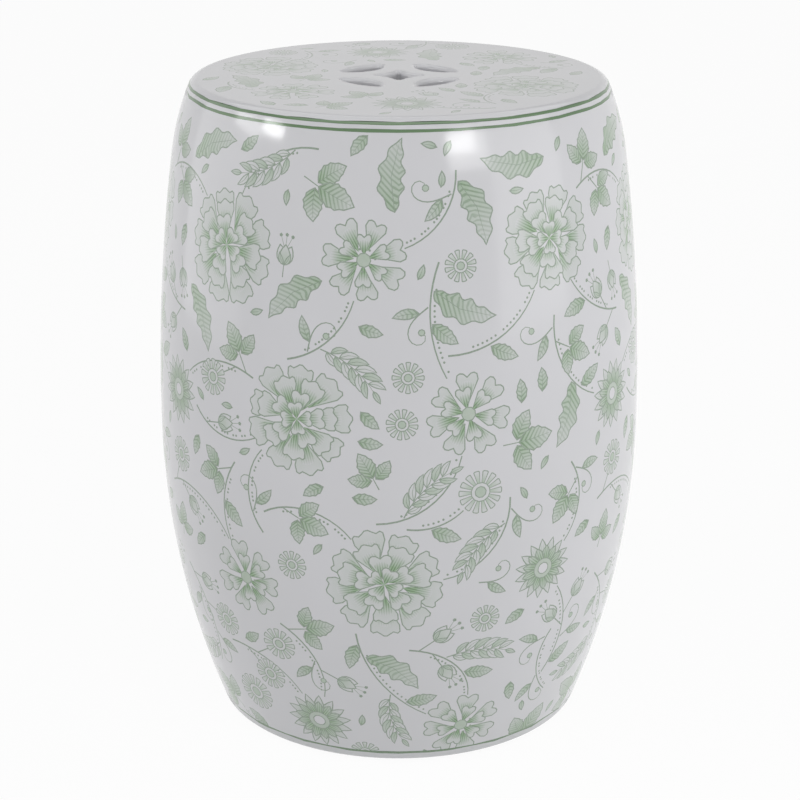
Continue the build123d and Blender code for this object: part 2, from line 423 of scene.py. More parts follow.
class Sheet:
    """A sheet of print. Every motif notes the cells that it covers, and later ones keep clear of them."""

    CELL = 2.2
    STEM_POINTS = 24
    STEM_TRIES = 40
    STEM_CURL = (0.9, 1.6)
    STEM_SWAY = 0.1
    STEM_WIDTHS = (1.3, 0.85)
    SHOOT_STEP = 3
    SHOOT_TRIES = 4
    SHOOT_LEAN = (0.6, 1.0)
    SHOOT_GAP = 1.6
    STALK = 11

    def __init__(self, width, inside, stretch, seed):
        self.around = round(width / self.CELL)
        self.cell = width / self.around
        self.inside, self.stretch, self.draw = inside, stretch, random.Random(seed)
        self.marks, self.taken = [], set()

    def cells(self, points):
        return {(math.floor(x / self.cell) % self.around, math.floor(y / self.cell)) for x, y in points}

    def hold(self, points):
        """Take the cells under some points, and those next to them."""
        for i, j in sorted(self.cells(points)):
            self.taken.update(((i + a) % self.around, j + b) for a in (-1, 0, 1) for b in (-1, 0, 1))

    def clear(self, points):
        return all(self.inside(x, y) for x, y in points) and self.taken.isdisjoint(self.cells(points))

    def add(self, motif, x, y, turn=None):
        """Lay a motif down where there is room for it, and say whether there was."""
        turn = self.draw.uniform(0, math.tau) if turn is None else turn
        marks = placed(motif, x, y, turn, self.stretch(y))
        points = [p for m in marks for p in m.points]
        if not self.clear(points):
            return False
        self.marks += marks
        self.hold(points)
        return True

    def either(self, bend):
        """The bend to one side or the other."""
        return self.draw.choice((bend, -bend))

    def stem(self, x, y, r, length, heading):
        """A bowed path with nothing in its way, from its root up to the rim of a flower of radius r."""
        draw, last = self.draw, self.STEM_POINTS - 1
        for _ in range(self.STEM_TRIES):
            if heading is None:
                away = draw.uniform(0, math.tau)
            else:
                away = heading + draw.uniform(-self.STEM_SWAY, self.STEM_SWAY)
            curl = self.either(1) * draw.uniform(*self.STEM_CURL)
            c, s = math.cos(away), math.sin(away)
            path = []
            for i in range(self.STEM_POINTS):
                a, b = bent(length * i / last, 0, length, curl)
                path.append((x + ((r + a) * c - b * s) * self.stretch(y), y + (r + a) * s + b * c))
            if self.clear(path[3:]):
                return path[::-1], math.copysign(1, curl)
        return None, 0

    def branch(self, x, y, r, length, heading=None):
        """A bowed stem under a flower, with dots beside it and leaves, buds and daisies along it."""
        path, side = self.stem(x, y, r, length, heading)
        if not path:
            return
        self.marks += stroke(path[::2], *self.STEM_WIDTHS)
        self.marks += dotted(path[3:-2], -side)
        for i in range(2, self.STEM_POINTS - 4, self.SHOOT_STEP):
            (px, py), (qx, qy) = path[i], path[i + 1]
            along = math.atan2(qy - py, qx - px)
            shoots, lean = self.shoots()
            for motif in shoots:
                if self.add(placed(motif, self.SHOOT_GAP, 0), px, py, along + side * lean):
                    break
            side = -side
        self.hold(path)

    def shoots(self):
        """What may grow out of a stem, in the order in which it is tried, and how far it leans."""
        lean = self.draw.uniform(*self.SHOOT_LEAN)
        stalk = stroke([(-self.SHOOT_GAP, 0), (self.STALK, 0)], 0.9, 0.8)
        large = [
            spray(46, self.either(0.8)),
            leaf(46, 16, (1.1, 0.25), self.either(0.8), veins=13, waves=4),
            stalk + placed(leaf_trio(22), self.STALK, 0),
            stalk + placed(daisy(12.5, 12), self.STALK + 12, 0),
            stalk + placed(bud(20), self.STALK, 0),
            tendril(44, self.either(1)),
        ]
        self.draw.shuffle(large)
        small = leaf(22, 10, (1.2, 0.25), 0.3, teeth=5, veins=8)
        return large[:self.SHOOT_TRIES] + [small], lean

    def scatter(self, tries, spot, make, stem=0.0, r=0.0, stalk=False):
        """Strew a motif over what is still bare, each on a stem of its own, of the length stem, where it is
        set. The stem meets the motif at the radius r, on any side, or at its stalk where it has one."""
        for _ in range(tries):
            x, y = spot(self.draw)
            turn = self.draw.uniform(0, math.tau)
            if self.add(make(), x, y, turn) and stem:
                self.branch(x, y, r, stem, turn + math.pi if stalk else None)

    def fill(self, spot, share):
        """Fill what is left between the large flowers. Each row has a number of tries, of which a share is
        made, the motif, and its stem as scatter takes it."""
        motifs = (
            (80, lambda: open_flower(19, self.draw), 46, 17),
            (300, lambda: placed(leaf_trio(27), -2, 0), 38, 11.5, True),
            (100, lambda: daisy(15, 14), 42, 14.4),
            (200, lambda: spray(54, self.either(0.9))),
            (200, lambda: leaf(48, 16, (1.1, 0.3), self.either(0.8), veins=13, waves=4)),
            (300, lambda: placed(leaf_trio(20), -2, 0)),
            (300, lambda: daisy(10.5, 12)),
            (300, lambda: tendril(42, self.either(1))),
            (500, lambda: placed(bud(19), -5, 0)),
            (600, lambda: leaf(17, 8, (1.2, 0.3), 0.35, teeth=4, veins=6)),
            (400, lambda: leaf(11, 5, (1.2, 0.3), 0.35)),
        )
        for tries, make, *stem in motifs:
            self.scatter(round(tries * share), spot, make, *stem)


# One repeat of the barrel's print, a third of the way round, measured across at the belly. It runs on under
# the band at the foot and stops short of the lines at the shoulder.
REPEATS = 3
SHEET_WIDTH = math.tau * BELLY_RADIUS / REPEATS
FOOT_LINE_Z = FOOT_Z + 6.4
FOOT_LINE_WIDTH = 2.2
FOOT_LINE_INK = 0.9
FOOT_BAND_WASH = 0.06
SHOULDER_LINES_Z = (SEAT_Z - 7.8, SEAT_Z - 3.5)
SHOULDER_LINE_WIDTH = 2.0
SHOULDER_LINE_INK = 1.2
LINE_WAVER = 0.1
BAND_OVERRUN = 5
PRINT_UNDER_BAND = 14
PRINT_OFF_LINES = 2.5
FILL_MARGIN = 6
SHIFT_ACROSS = 9
SHIFT_UP = 10
STEM_MEETS = 0.88
STEM_LENGTHS = (60, 88)
BARREL_SEED = 4

joint_v = height_on_outline(JOINT_Z)
print_low = height_on_outline(FOOT_LINE_Z)
print_high = height_on_outline(SHOULDER_LINES_Z[0])


def on_barrel(_, v):
    return print_low - PRINT_UNDER_BAND < v < print_high - PRINT_OFF_LINES


def stretch_round(v):
    """How much wider a motif is on the sheet than on the barrel, where the barrel draws in."""
    return BELLY_RADIUS / float(np.interp(v, outline_steps, outline_rows[:, 0]))


def spot_on_barrel(draw):
    return draw.uniform(0, SHEET_WIDTH), draw.uniform(print_low - FILL_MARGIN, print_high + FILL_MARGIN)


def painted_band(low, high, line, wash, waver=0.0):
    """A band round the barrel, as it is banded on the wheel, with edges that waver a little. It laps over
    both sides of the sheet by a share of its width."""
    steps, waves, lap = 60, 3, 0.1
    across = [SHEET_WIDTH * (i / steps * (1 + 2 * lap) - lap) for i in range(steps + 1)]

    def edge(v, phase):
        return [(u, v + waver * math.sin(math.tau * waves * u / SHEET_WIDTH + phase)) for u in across]

    points = edge(low, 0.4) + edge(high, 2.1)[::-1]
    return [Mark(points, line, (wash, wash), (0, low), (0, high))]


# Rows of large flowers: the height as a share of the print's, then motif, radius and place across.
sheet = Sheet(SHEET_WIDTH, on_barrel, stretch_round, BARREL_SEED)
flower_rows = (
    (0.05, ((peony, 37, 0.10), (sun_daisy, 24, 0.45), (open_flower, 28, 0.78))),
    (0.31, ((open_flower, 28, 0.28), (peony, 40, 0.61), (sun_daisy, 23, 0.94))),
    (0.58, ((sun_daisy, 24, 0.09), (peony, 38, 0.42), (open_flower, 28, 0.76))),
    (0.83, ((peony, 38, 0.24), (open_flower, 27, 0.58), (peony, 35, 0.92))),
)
flowers = []
for level, row in flower_rows:
    for make, r, across in row:
        x = SHEET_WIDTH * across + sheet.draw.uniform(-SHIFT_ACROSS, SHIFT_ACROSS)
        y = print_low + (print_high - print_low) * level + sheet.draw.uniform(-SHIFT_UP, SHIFT_UP)
        sheet.add(make(r, sheet.draw), x, y)
        flowers.append((x, y, r))
for x, y, r in 2 * flowers:
    sheet.branch(x, y, STEM_MEETS * r, sheet.draw.uniform(*STEM_LENGTHS))
sheet.fill(spot_on_barrel, 1.0)

bands = painted_band(-BAND_OVERRUN, print_low, 0.0, FOOT_BAND_WASH)
bands += painted_band(print_high, outline_length + BAND_OVERRUN, 0.0, 0.0)
painted_lines = [(FOOT_LINE_Z, FOOT_LINE_WIDTH, FOOT_LINE_INK)]
painted_lines += [(z, SHOULDER_LINE_WIDTH, SHOULDER_LINE_INK) for z in SHOULDER_LINES_Z]
for z, width, line in painted_lines:
    v = height_on_outline(z)
    bands += painted_band(v - width / 2, v + width / 2, line, 0.0, LINE_WAVER)

# The drawing is cut into the faces of the mesh. A patch is a part of a piece's skin, and its triangles hold
# the ink at their corners: wash, line, bare clay, and the count of comb lines from the mark's base.
Patch = namedtuple("Patch", "places normals maps tris inks")
GLAZED = (0.0, 0.0, 0.0, 0.0)
BARE = (0.0, 0.0, 1.0, 0.0)
THIN_GLAZE = (0.0, 0.0, 0.4, 0.0)
NEAR = 1e-4
TURN_DIGITS = 7
UNSEEN = 0.03
NO_MARK = -1
OUTSIDE = -2


def anticlockwise(loop):
    """A closed outline, turned anticlockwise and begun at its longest side."""
    if turning(loop) < 0:
        return anticlockwise(loop[::-1])
    sides = [math.dist(a, b) for a, b in zip(loop, loop[1:] + loop[:1])]
    first = sides.index(max(sides))
    return loop[first:] + loop[:first]


def straight_on(points, a, b, c):
    """True where b lies on the straight line from a to c, or so near to it that no eye sees it."""
    (ax, ay), (bx, by), (cx, cy) = points[a], points[b], points[c]
    return abs((bx - ax) * (cy - ay) - (by - ay) * (cx - ax)) < UNSEEN * math.hypot(cx - ax, cy - ay)


def seen_edges(points, tris, top, fixed):
    """The edges of the drawing that show: {(start, end): (mark on the left, mark on the right)}. Points on
    a straight run are dropped, but for the fixed ones."""
    left = {}
    for (a, b, c), mark in zip(tris, top):
        left[a, b] = left[b, c] = left[c, a] = mark
    edges = {}
    for (a, b), mark in left.items():
        other = left.get((b, a))
        if mark != other and (a < b or (b, a) not in left):
            edges[a, b] = (mark, other)
    ends = {}
    for a, b in edges:
        ends.setdefault(a, []).append((a, b))
        ends.setdefault(b, []).append((a, b))
    for middle, pair in ends.items():
        if len(pair) != 2 or middle in fixed:
            continue
        far = [e[0] if e[1] == middle else e[1] for e in pair]
        if far[0] == far[1] or not straight_on(points, far[0], middle, far[1]):
            continue
        sides = edges[pair[0]] if pair[0][1] == middle else edges[pair[0]][::-1]
        joined = (far[0], far[1])
        for e, other in zip(pair, far):
            del edges[e]
            ends[other].remove(e)
            ends[other].append(joined)
        edges[joined] = sides
        pair.clear()
    return edges


def spread_marks(tris, left):
    """The mark on each triangle, known beside the edges in left and spread from there to the rest."""
    beside = {}
    for t, (a, b, c) in enumerate(tris):
        beside[a, b] = beside[b, c] = beside[c, a] = t
    top = [None] * len(tris)
    found = []
    for edge, mark in left.items():
        t = beside.get(edge)
        if t is not None and top[t] is None and mark is not None:
            top[t] = mark
            found.append(t)
    while found:
        t = found.pop()
        a, b, c = tris[t]
        for edge in ((b, a), (c, b), (a, c)):
            other = beside.get(edge)
            if other is not None and edge not in left and top[other] is None:
                top[other] = top[t]
                found.append(other)
    return [OUTSIDE if mark is None else mark for mark in top]


def ink_on(marks, corners, top):
    """The ink at the corners of triangles, from the mark on top of each."""
    inks = np.zeros((len(corners), 3, 4))
    if not marks:
        return inks
    base = np.array([m.base for m in marks])
    run = np.array([m.tip for m in marks]) - base
    length = np.maximum(np.hypot(*run.T), NEAR)
    run /= length[:, None]
    wash = np.array([m.wash for m in marks], float)
    line, comb, lean = np.array([(m.line, m.comb, m.lean) for m in marks], float)[top].T[..., None]
    away, run = corners - base[top][:, None], run[top][:, None]
    along = (away * run).sum(axis=2)
    across = away[..., 1] * run[..., 0] - away[..., 0] * run[..., 1]
    share = np.clip(along / length[top][:, None], 0, 1)
    inks[..., 0] = wash[top, 0][:, None] + (wash[top, 1] - wash[top, 0])[:, None] * share
    inks[..., 1] = line
    inks[..., 3] = comb * np.where(lean > 0, along - lean * np.abs(across), across)
    inks[top == NO_MARK] = 0
    return inks


def inked(border, inner, marks, holes=()):
    """Triangles of a printed area, each with the ink of the mark that lies on top of it. The drawing is
    cut up once to see which marks lie on top, and again along the edges that then show."""
    points, faces = [], []
    for loop in (border, *holes, *(m.points for m in marks)):
        faces.append(list(range(len(points), len(points) + len(loop))))
        points += anticlockwise(loop)
    points = [Vector(p) for p in points]
    flat, _, tris, origins, _, owners = delaunay_2d_cdt(points, [], faces, 0, NEAR, True)
    first = 1 + len(holes)
    edge_points = sum(len(loop) for loop in (border, *holes))
    fixed = {i for i, origin in enumerate(origins) if any(n < edge_points for n in origin)}
    kept = [(tri, own) for tri, own in zip(tris, owners) if 0 in own]
    top = [
        OUTSIDE if any(0 < k < first for k in own) else max(max(own) - first, NO_MARK) for _, own in kept
    ]
    edges = seen_edges(flat, [tri for tri, _ in kept], top, fixed)

    used = sorted({i for e in edges for i in e})
    at = {i: n for n, i in enumerate(used)}
    seen = [(at[a], at[b]) for a, b in edges]
    sides = list(edges.values())
    points = [flat[i] for i in used] + [Vector(p) for p in inner]
    flat, cut, tris, _, sources, _ = delaunay_2d_cdt(points, seen, [], 0, NEAR, True)
    left = {}
    for (a, b), source in zip(cut, sources):
        if source:
            i, j = seen[source[0]]
            along = (flat[b] - flat[a]).dot(points[j] - points[i]) > 0
            left[a, b], left[b, a] = sides[source[0]] if along else sides[source[0]][::-1]
    top = np.array(spread_marks(tris, left))
    flat, tris = np.array([tuple(p) for p in flat]), np.array([tuple(t) for t in tris])
    tris, top = tris[top > OUTSIDE], top[top > OUTSIDE]
    return flat, tris, ink_on(marks, flat[tris], top)


# The sheet is printed in cells, columns of it between two levels, and each cell is laid round three times.
COLUMNS = 8
COLUMN_STEPS = 8
AROUND = REPEATS * COLUMNS * COLUMN_STEPS
ROWS = 10
ROW_STEPS = 6
EDGE_STEPS = 4
CORNER_STEPS = 6
column_width = SHEET_WIDTH / COLUMNS
shifted = [mark for k in (-1, 0, 1) for mark in placed(sheet.marks, k * SHEET_WIDTH, 0)] + bands


def reach_of(mark):
    """The box round a mark: left, right, low and high."""
    xs, ys = zip(*mark.points)
    return min(xs), max(xs), min(ys), max(ys)


reaches = [reach_of(mark) for mark in shifted]


def printed_cell(column, levels):
    """One cell of the barrel's print: a column of the sheet between the first and last of some levels."""
    left, low, high = column * column_width, levels[0], levels[-1]
    across = [left + column_width * i / COLUMN_STEPS for i in range(COLUMN_STEPS + 1)]
    border = [(u, low) for u in across] + [(across[-1], v) for v in levels[1:-1]]
    border += [(u, high) for u in across[::-1]] + [(left, v) for v in levels[-2:0:-1]]
    inner = [(u, v) for u in across[1:-1] for v in levels[1:-1]]
    marks = [
        m for m, (x0, x1, y0, y1) in zip(shifted, reaches)
        if x0 < across[-1] and x1 > left and y0 < high and y1 > low
    ]
    return inked(border, inner, marks)


def round_axis(r, z, angle):
    """Points, or directions, at a radius and a height, turned about the axis by an angle."""
    return np.stack([r * np.cos(angle), r * np.sin(angle), z + 0 * angle], axis=-1).reshape(-1, 3)


def wrapped(cell, column, repeat, strips):
    """A printed cell, laid round the axis on one of the repeats, and into its strip of the bake map."""
    flat, tris, inks = cell
    angle = (flat[:, 0] / SHEET_WIDTH + repeat) * math.tau / REPEATS
    r, z, nr, nz = on_outline(flat[:, 1]).T
    strip = (repeat * COLUMNS + column) * strips.count // (REPEATS * COLUMNS)
    across = strips.margin + (1 - 2 * strips.margin) * (angle * strips.count / math.tau - strip)
    share = (flat[:, 1] - strips.low) / (strips.high - strips.low)
    maps = np.stack([across, strips.margin + strips.step * strip + strips.height * share], axis=1)
    return Patch(round_axis(r, z, angle), round_axis(nr, nz, angle), maps, tris, inks)


def printed_skin(levels, strips):
    """The skin between the first and last of some levels, with the print all the way round."""
    patches = []
    for column in range(COLUMNS):
        cell = printed_cell(column, levels)
        patches += [wrapped(cell, column, repeat, strips) for repeat in range(REPEATS)]
    return patches


def plain(ink, tris):
    """The same ink at every corner."""
    return np.broadcast_to(np.array(ink, float), (len(tris), 3, 4))


def grid_tris(rows, columns):
    """Triangles between the points of a grid, which lie row after row."""
    start = (np.arange(rows - 1)[:, None] * columns + np.arange(columns - 1)[None]).ravel()
    side = start + columns
    return np.concatenate([np.stack([start, start + 1, side], 1), np.stack([start + 1, side + 1, side], 1)])


def turned(rows, ink, map_strip):
    """A plain patch turned about the axis from rows of radius, height and normal."""
    rows = np.array(rows)
    angle = np.linspace(0, math.tau, AROUND + 1)
    r, z, nr, nz = (column[:, None] for column in rows.T)
    run = np.concatenate([[0], np.cumsum(np.hypot(*np.diff(rows[:, :2], axis=0).T))])
    low, high = map_strip
    across, up = np.meshgrid(angle / math.tau, low + (high - low) * run / run[-1])
    maps = np.stack([across.ravel(), up.ravel()], axis=1)
    tris = grid_tris(len(rows), AROUND + 1)
    return Patch(round_axis(r, z, angle), round_axis(nr, nz, angle), maps, tris, plain(ink, tris))


def joint_ring(skin, inner_radius, up, map_strip):
    """The level face at the joint, from every point that the skin has there in to a plain circle."""
    edge = np.concatenate([patch.places for patch in skin])
    edge = edge[np.abs(edge[:, 2] - JOINT_Z) < NEAR]
    turns = np.round(np.arctan2(edge[:, 1], edge[:, 0]) / math.tau, TURN_DIGITS) % 1
    outer, index = np.unique(turns, return_index=True)
    outer, index = np.append(outer, 1.0), np.append(index, index[0])
    inner = np.linspace(0, 1, AROUND + 1)
    places = np.concatenate([edge[index], round_axis(inner_radius, JOINT_Z, math.tau * inner)])
    tris, i, j = [], 0, 0
    while i + 1 < len(outer) or j + 1 < len(inner):
        if j + 1 == len(inner) or (i + 1 < len(outer) and outer[i + 1] <= inner[j + 1]):
            tris.append((i, i + 1, len(outer) + j))
            i += 1
        else:
            tris.append((i, len(outer) + j + 1, len(outer) + j))
            j += 1
    normals = np.zeros_like(places) + (0, 0, up)
    heights = np.repeat(map_strip[::-1], (len(outer), len(inner)))
    maps = np.stack([np.concatenate([outer, inner]), heights], axis=1)
    return Patch(places, normals, maps, np.array(tris), plain(BARE, tris))


def arc_rows(arc, start, end, steps, side):
    """Rows along an arc from one angle to another, with the normal outwards or, for side -1, inwards."""
    rows = []
    for angle in np.linspace(start, end, steps):
        c, s = math.cos(angle), math.sin(angle)
        rows.append((arc.r + arc.size * c, arc.z + arc.size * s, side * c, side * s))
    return rows


WELD = 1e-7
NORMAL_STEPS = 40
SLIVER = 1e-15


def made_of(name, patches):
    """One mesh object out of patches, with smooth shared edges welded and every face turned outwards."""
    begins = np.cumsum([0] + [len(p.places) for p in patches])
    patches = [p._replace(tris=p.tris + begin) for p, begin in zip(patches, begins)]
    places, normals, maps, tris, inks = (np.concatenate(part) for part in zip(*patches))
    places = places * MM
    keys = np.concatenate([np.round(places / WELD), np.round(normals * NORMAL_STEPS)], axis=1)
    _, first, same = np.unique(keys, axis=0, return_index=True, return_inverse=True)
    same = same.ravel()
    places = places[first[same]]
    a, b, c = (places[tris[:, i]] for i in range(3))
    facing = np.cross(b - a, c - a)
    whole = np.linalg.norm(facing, axis=1) > SLIVER
    tris, inks, facing = tris[whole], inks[whole], facing[whole]
    inward = (facing * normals[tris].sum(axis=1)).sum(axis=1) < 0
    tris[inward] = tris[inward][:, ::-1]
    inks = np.where(inward[:, None, None], inks[:, ::-1], inks)
    mesh = bpy.data.meshes.new(name)
    mesh.from_pydata(places[first].tolist(), [], same[tris].tolist())
    mesh.uv_layers.new(name="OFBake").uv.foreach_set("vector", maps[tris.ravel()].ravel())
    mesh.color_attributes.new("ink", "FLOAT_COLOR", "CORNER").data.foreach_set("color", inks.ravel())
    mesh.polygons.foreach_set("use_smooth", np.ones(len(tris), bool))
    mesh.normals_split_custom_set(normals[tris.ravel()].tolist())
    piece = bpy.data.objects.new(name, mesh)
    bpy.context.scene.collection.objects.link(piece)
    return piece


# The barrel's bake map: each half of the skin in a strip, and thin strips for the faces that hardly show.
# Strips of skin have a count, a margin, a step up, a height, and the low and high ends that they show.
Strips = namedtuple("Strips", "count margin step height low high")
BARREL_STRIPS = Strips(2, 0.004, 0.46, 0.455, 0.0, joint_v)
JOINT_STRIP = (0.925, 0.93)
INSIDE_STRIP = (0.935, 0.98)
FOOT_STRIP = (0.985, 0.996)

barrel_patches = []
foot_edge_v = arc_length(foot_edge)
levels = np.linspace(foot_edge_v, joint_v, ROW_STEPS * ROWS + 1)
levels = np.concatenate([np.linspace(0, foot_edge_v, EDGE_STEPS + 1)[:-1], levels])
top_level = len(levels) - 1
cuts = [0, *range(EDGE_STEPS + ROW_STEPS, top_level, ROW_STEPS), top_level]
for begin, end in zip(cuts, cuts[1:]):
    barrel_patches += printed_skin(levels[begin:end + 1].tolist(), BARREL_STRIPS)

inner_corner = edge_arc(lower, WALL, INNER_CORNER_RADIUS, FOOT_TOP_Z, 1)
inside_arcs = (
    (shoulder, angle_at(shoulder, JOINT_Z, WALL), upper.end, 8),
    (upper, upper.end, 0, 24),
    (lower, 0, inner_corner.end, 26),
)
inside = []
for arc, begin, end, steps in inside_arcs:
    inside += arc_rows(arc._replace(size=arc.size - WALL), begin, end, steps, -1)
inside += arc_rows(inner_corner, inner_corner.end, -math.pi / 2, CORNER_STEPS, -1)
opening_r = FOOT_OPENING_RADIUS + FOOT_EDGE_RADIUS
inside += [(inner_corner.r, FOOT_TOP_Z, 0, 1), (opening_r, FOOT_TOP_Z, 0, 1)]
opening_top = Arc(opening_r, FOOT_TOP_Z - FOOT_EDGE_RADIUS, FOOT_EDGE_RADIUS, math.pi / 2, math.pi)
opening_low = Arc(opening_r, FOOT_Z + FOOT_EDGE_RADIUS, FOOT_EDGE_RADIUS, math.pi, 1.5 * math.pi)
foot = []
for arc in (opening_top, opening_low):
    foot += arc_rows(arc, arc.start, arc.end, CORNER_STEPS, 1)
foot.append((foot_edge.r, FOOT_Z, 0, -1))
mouth = inside[0][0]
barrel_patches += [
    joint_ring(barrel_patches, mouth, 1, JOINT_STRIP),
    turned(inside, THIN_GLAZE, INSIDE_STRIP),
    turned(foot, BARE, FOOT_STRIP),
]


class Shade:
    """A socket in a material. Sums on it add Math nodes, and node() adds any other node."""

    def __init__(self, tree, socket=None):
        self.tree, self.socket = tree, socket

    def node(self, kind, settings, values, output=0):
        made = self.tree.nodes.new("ShaderNode" + kind)
        for name, setting in settings.items():
            setattr(made, name, setting)
        for name, value in values.items():
            if isinstance(value, Shade):
                self.tree.links.new(value.socket, made.inputs[name])
            else:
                made.inputs[name].default_value = value
        return Shade(self.tree, made.outputs[output] if made.outputs else None)

    def out(self, name):
        return Shade(self.tree, self.socket.node.outputs[name])

    def sum(self, operation, a, b=0.0):
        return self.node("Math", {"operation": operation}, {0: a, 1: b})

    def __add__(self, other):
        return self.sum("ADD", self, other)

    def __sub__(self, other):
        return self.sum("SUBTRACT", self, other)

    def __rsub__(self, other):
        return self.sum("SUBTRACT", other, self)

    def __mul__(self, other):
        return self.sum("MULTIPLY", self, other)

    def __pow__(self, other):
        return self.sum("POWER", self, other)

    __radd__, __rmul__ = __add__, __mul__

    def fraction(self):
        return self.sum("FRACT", self)

    def __abs__(self):
        return self.sum("ABSOLUTE", self)

    def at_least(self, other):
        return self.sum("MAXIMUM", self, other)

    def mixed(self, a, b):
        """Colour a where this value is 0 and colour b where it is 1."""
        return self.node("Mix", {"data_type": "RGBA"}, {0: self, 6: a, 7: b}, 2)

    def noise(self, coords, scale, detail):
        return self.node("TexNoise", {}, {"Vector": coords, "Scale": scale, "Detail": detail})


def new_finish(name):
    """An empty material, and a start for its nodes."""
    material = bpy.data.materials.new(name)
    material.use_nodes = True
    material.node_tree.nodes.clear()
    return material, Shade(material.node_tree)


GLAZE_WHITE = (0.655, 0.653, 0.681, 1)
GLAZE_POOL = (0.615, 0.617, 0.633, 1)
SAGE_WASH = (0.295, 0.42, 0.27, 1)
SAGE_LINE = (0.115, 0.205, 0.10, 1)
COMB_INK = 0.52
COMB_EDGE = 0.3
COMB_FULL = 0.12
BISCUIT = (0.62, 0.57, 0.50, 1)
BISCUIT_SPECK = (0.45, 0.38, 0.30, 1)

printed_glaze, start = new_finish("printed_glaze")
spot = start.node("TexCoord", {}, {}, "Object")
ink = start.node("Attribute", {"attribute_name": "ink"}, {}, "Color")
wash = start.node("SeparateColor", {}, {"Color": ink}, "Red")
line, bare, comb = wash.out("Green"), wash.out("Blue"), ink.out("Alpha")
mottle = start.noise(spot, 140.0, 3.0)
grain = start.noise(spot, 900.0, 2.0)
flow = start.noise(spot, 11.0, 2.0)

# The comb lays hair lines over the wash, and the clay's grain breaks up the ink as it dries.
hair = start.node("MapRange", {"interpolation_type": "SMOOTHSTEP"}, {
    "Value": abs(comb.fraction() - 0.5), "From Min": COMB_EDGE, "From Max": COMB_FULL,
})
line = line.at_least(COMB_INK * hair * wash) * (0.75 + 0.45 * grain)
wash = wash * (0.39 + 0.42 * mottle + 0.2 * grain)
white = flow.mixed(GLAZE_WHITE, GLAZE_POOL)
colour = line.mixed(wash.mixed(white, SAGE_WASH), SAGE_LINE)
clay = (grain ** 3.0).mixed(BISCUIT, BISCUIT_SPECK)

# The glaze lies in slow waves, the inked lines stand up a little, and the bare clay is gritty.
height = flow + 0.004 * grain + 0.25 * bare * grain + 0.02 * line
body = start.node("BsdfPrincipled", {}, {
    "Base Color": bare.mixed(colour, clay),
    "Roughness": 0.1 + 0.06 * mottle + 0.6 * bare,
    "IOR": 1.5,
    "Normal": start.node("Bump", {}, {"Strength": 0.5, "Distance": 0.0006, "Height": height}),
})
start.node("OutputMaterial", {}, {"Surface": body})

barrel = made_of("barrel", barrel_patches)
barrel.data.materials.append(printed_glaze)
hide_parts("barrel_wall")
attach(barrel, "root")

# Seat slab: a shallow cap cast on its own and luted to the barrel with slip, so the glaze hides the joint.
# It carries on the barrel's print and two painted lines round its edge, and has a print of its own on the
# flat. A coin pattern is pierced through it: four lens slots for the fingers round a four-pointed star.
COIN_RADIUS = 41.0
SLOTS = 4
SLOT_HALF_SPAN = math.radians(28.0)
SLOT_INNER_RADIUS = 26.0
SLOT_TIP_RADIUS = 2.0
STAR_TIP_RADIUS = 18.0
STAR_WAIST_RADIUS = 9.0
STAR_TIP_ROUND = 1.2
GLAZED_RIM_RADIUS = 3.0
SIDE_STEPS = 26
STAR_SIDE_STEPS = 18
TIP_STEPS = 8
RIM_STEPS = 9
SEAT_THICKNESS = 9.0
SEAT_UNDERSIDE_Z = SEAT_Z - SEAT_THICKNESS
SLIP_GAP = 0.3
SPIGOT_THICKNESS = 5.0
SPIGOT_RADIUS = mouth - SLIP_GAP
SPIGOT_INNER_RADIUS = SPIGOT_RADIUS - SPIGOT_THICKNESS
SPIGOT_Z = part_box("seat_slab")[0].z / MM
SPIGOT_LEAD = 1.0


def swept(x, y, size, start, end, steps, side=1):
    """Points of an arc, each with the direction out of the pierced hole, without the arc's last point."""
    angles = np.linspace(start, end, steps, endpoint=False)
    out = np.stack([np.cos(angles), np.sin(angles)], axis=1)
    return np.concatenate([np.array([x, y]) + size * out, side * out], axis=1)


def turned_by(outline_points, angle):
    """Points and their directions, turned about the axis."""
    c, s = math.cos(angle), math.sin(angle)
    turn = np.array([[c, s], [-s, c]])
    return np.concatenate([outline_points[:, :2] @ turn, outline_points[:, 2:] @ turn], axis=1)


def lens_slot():
    """Outline of a slot: coin circle outside, a bowed side inside, and a rounded tip at each end."""
    tip_r = COIN_RADIUS * math.cos(SLOT_HALF_SPAN)
    side_x = (COIN_RADIUS**2 - SLOT_INNER_RADIUS**2) / (2 * (tip_r - SLOT_INNER_RADIUS))
    side_size = side_x - SLOT_INNER_RADIUS
    outer, inner = COIN_RADIUS - SLOT_TIP_RADIUS, side_size - SLOT_TIP_RADIUS
    x = (outer**2 - inner**2 + side_x**2) / (2 * side_x)
    y = math.sqrt(outer**2 - x**2)
    outer_angle, inner_angle = math.atan2(y, x), math.atan2(y, x - side_x)
    return np.concatenate([
        swept(0, 0, COIN_RADIUS, -outer_angle, outer_angle, SIDE_STEPS),
        swept(x, y, SLOT_TIP_RADIUS, outer_angle, inner_angle, TIP_STEPS),
        swept(side_x, 0, side_size, inner_angle, math.tau - inner_angle, SIDE_STEPS),
        swept(x, -y, SLOT_TIP_RADIUS, math.tau - inner_angle, math.tau - outer_angle, TIP_STEPS),
    ])


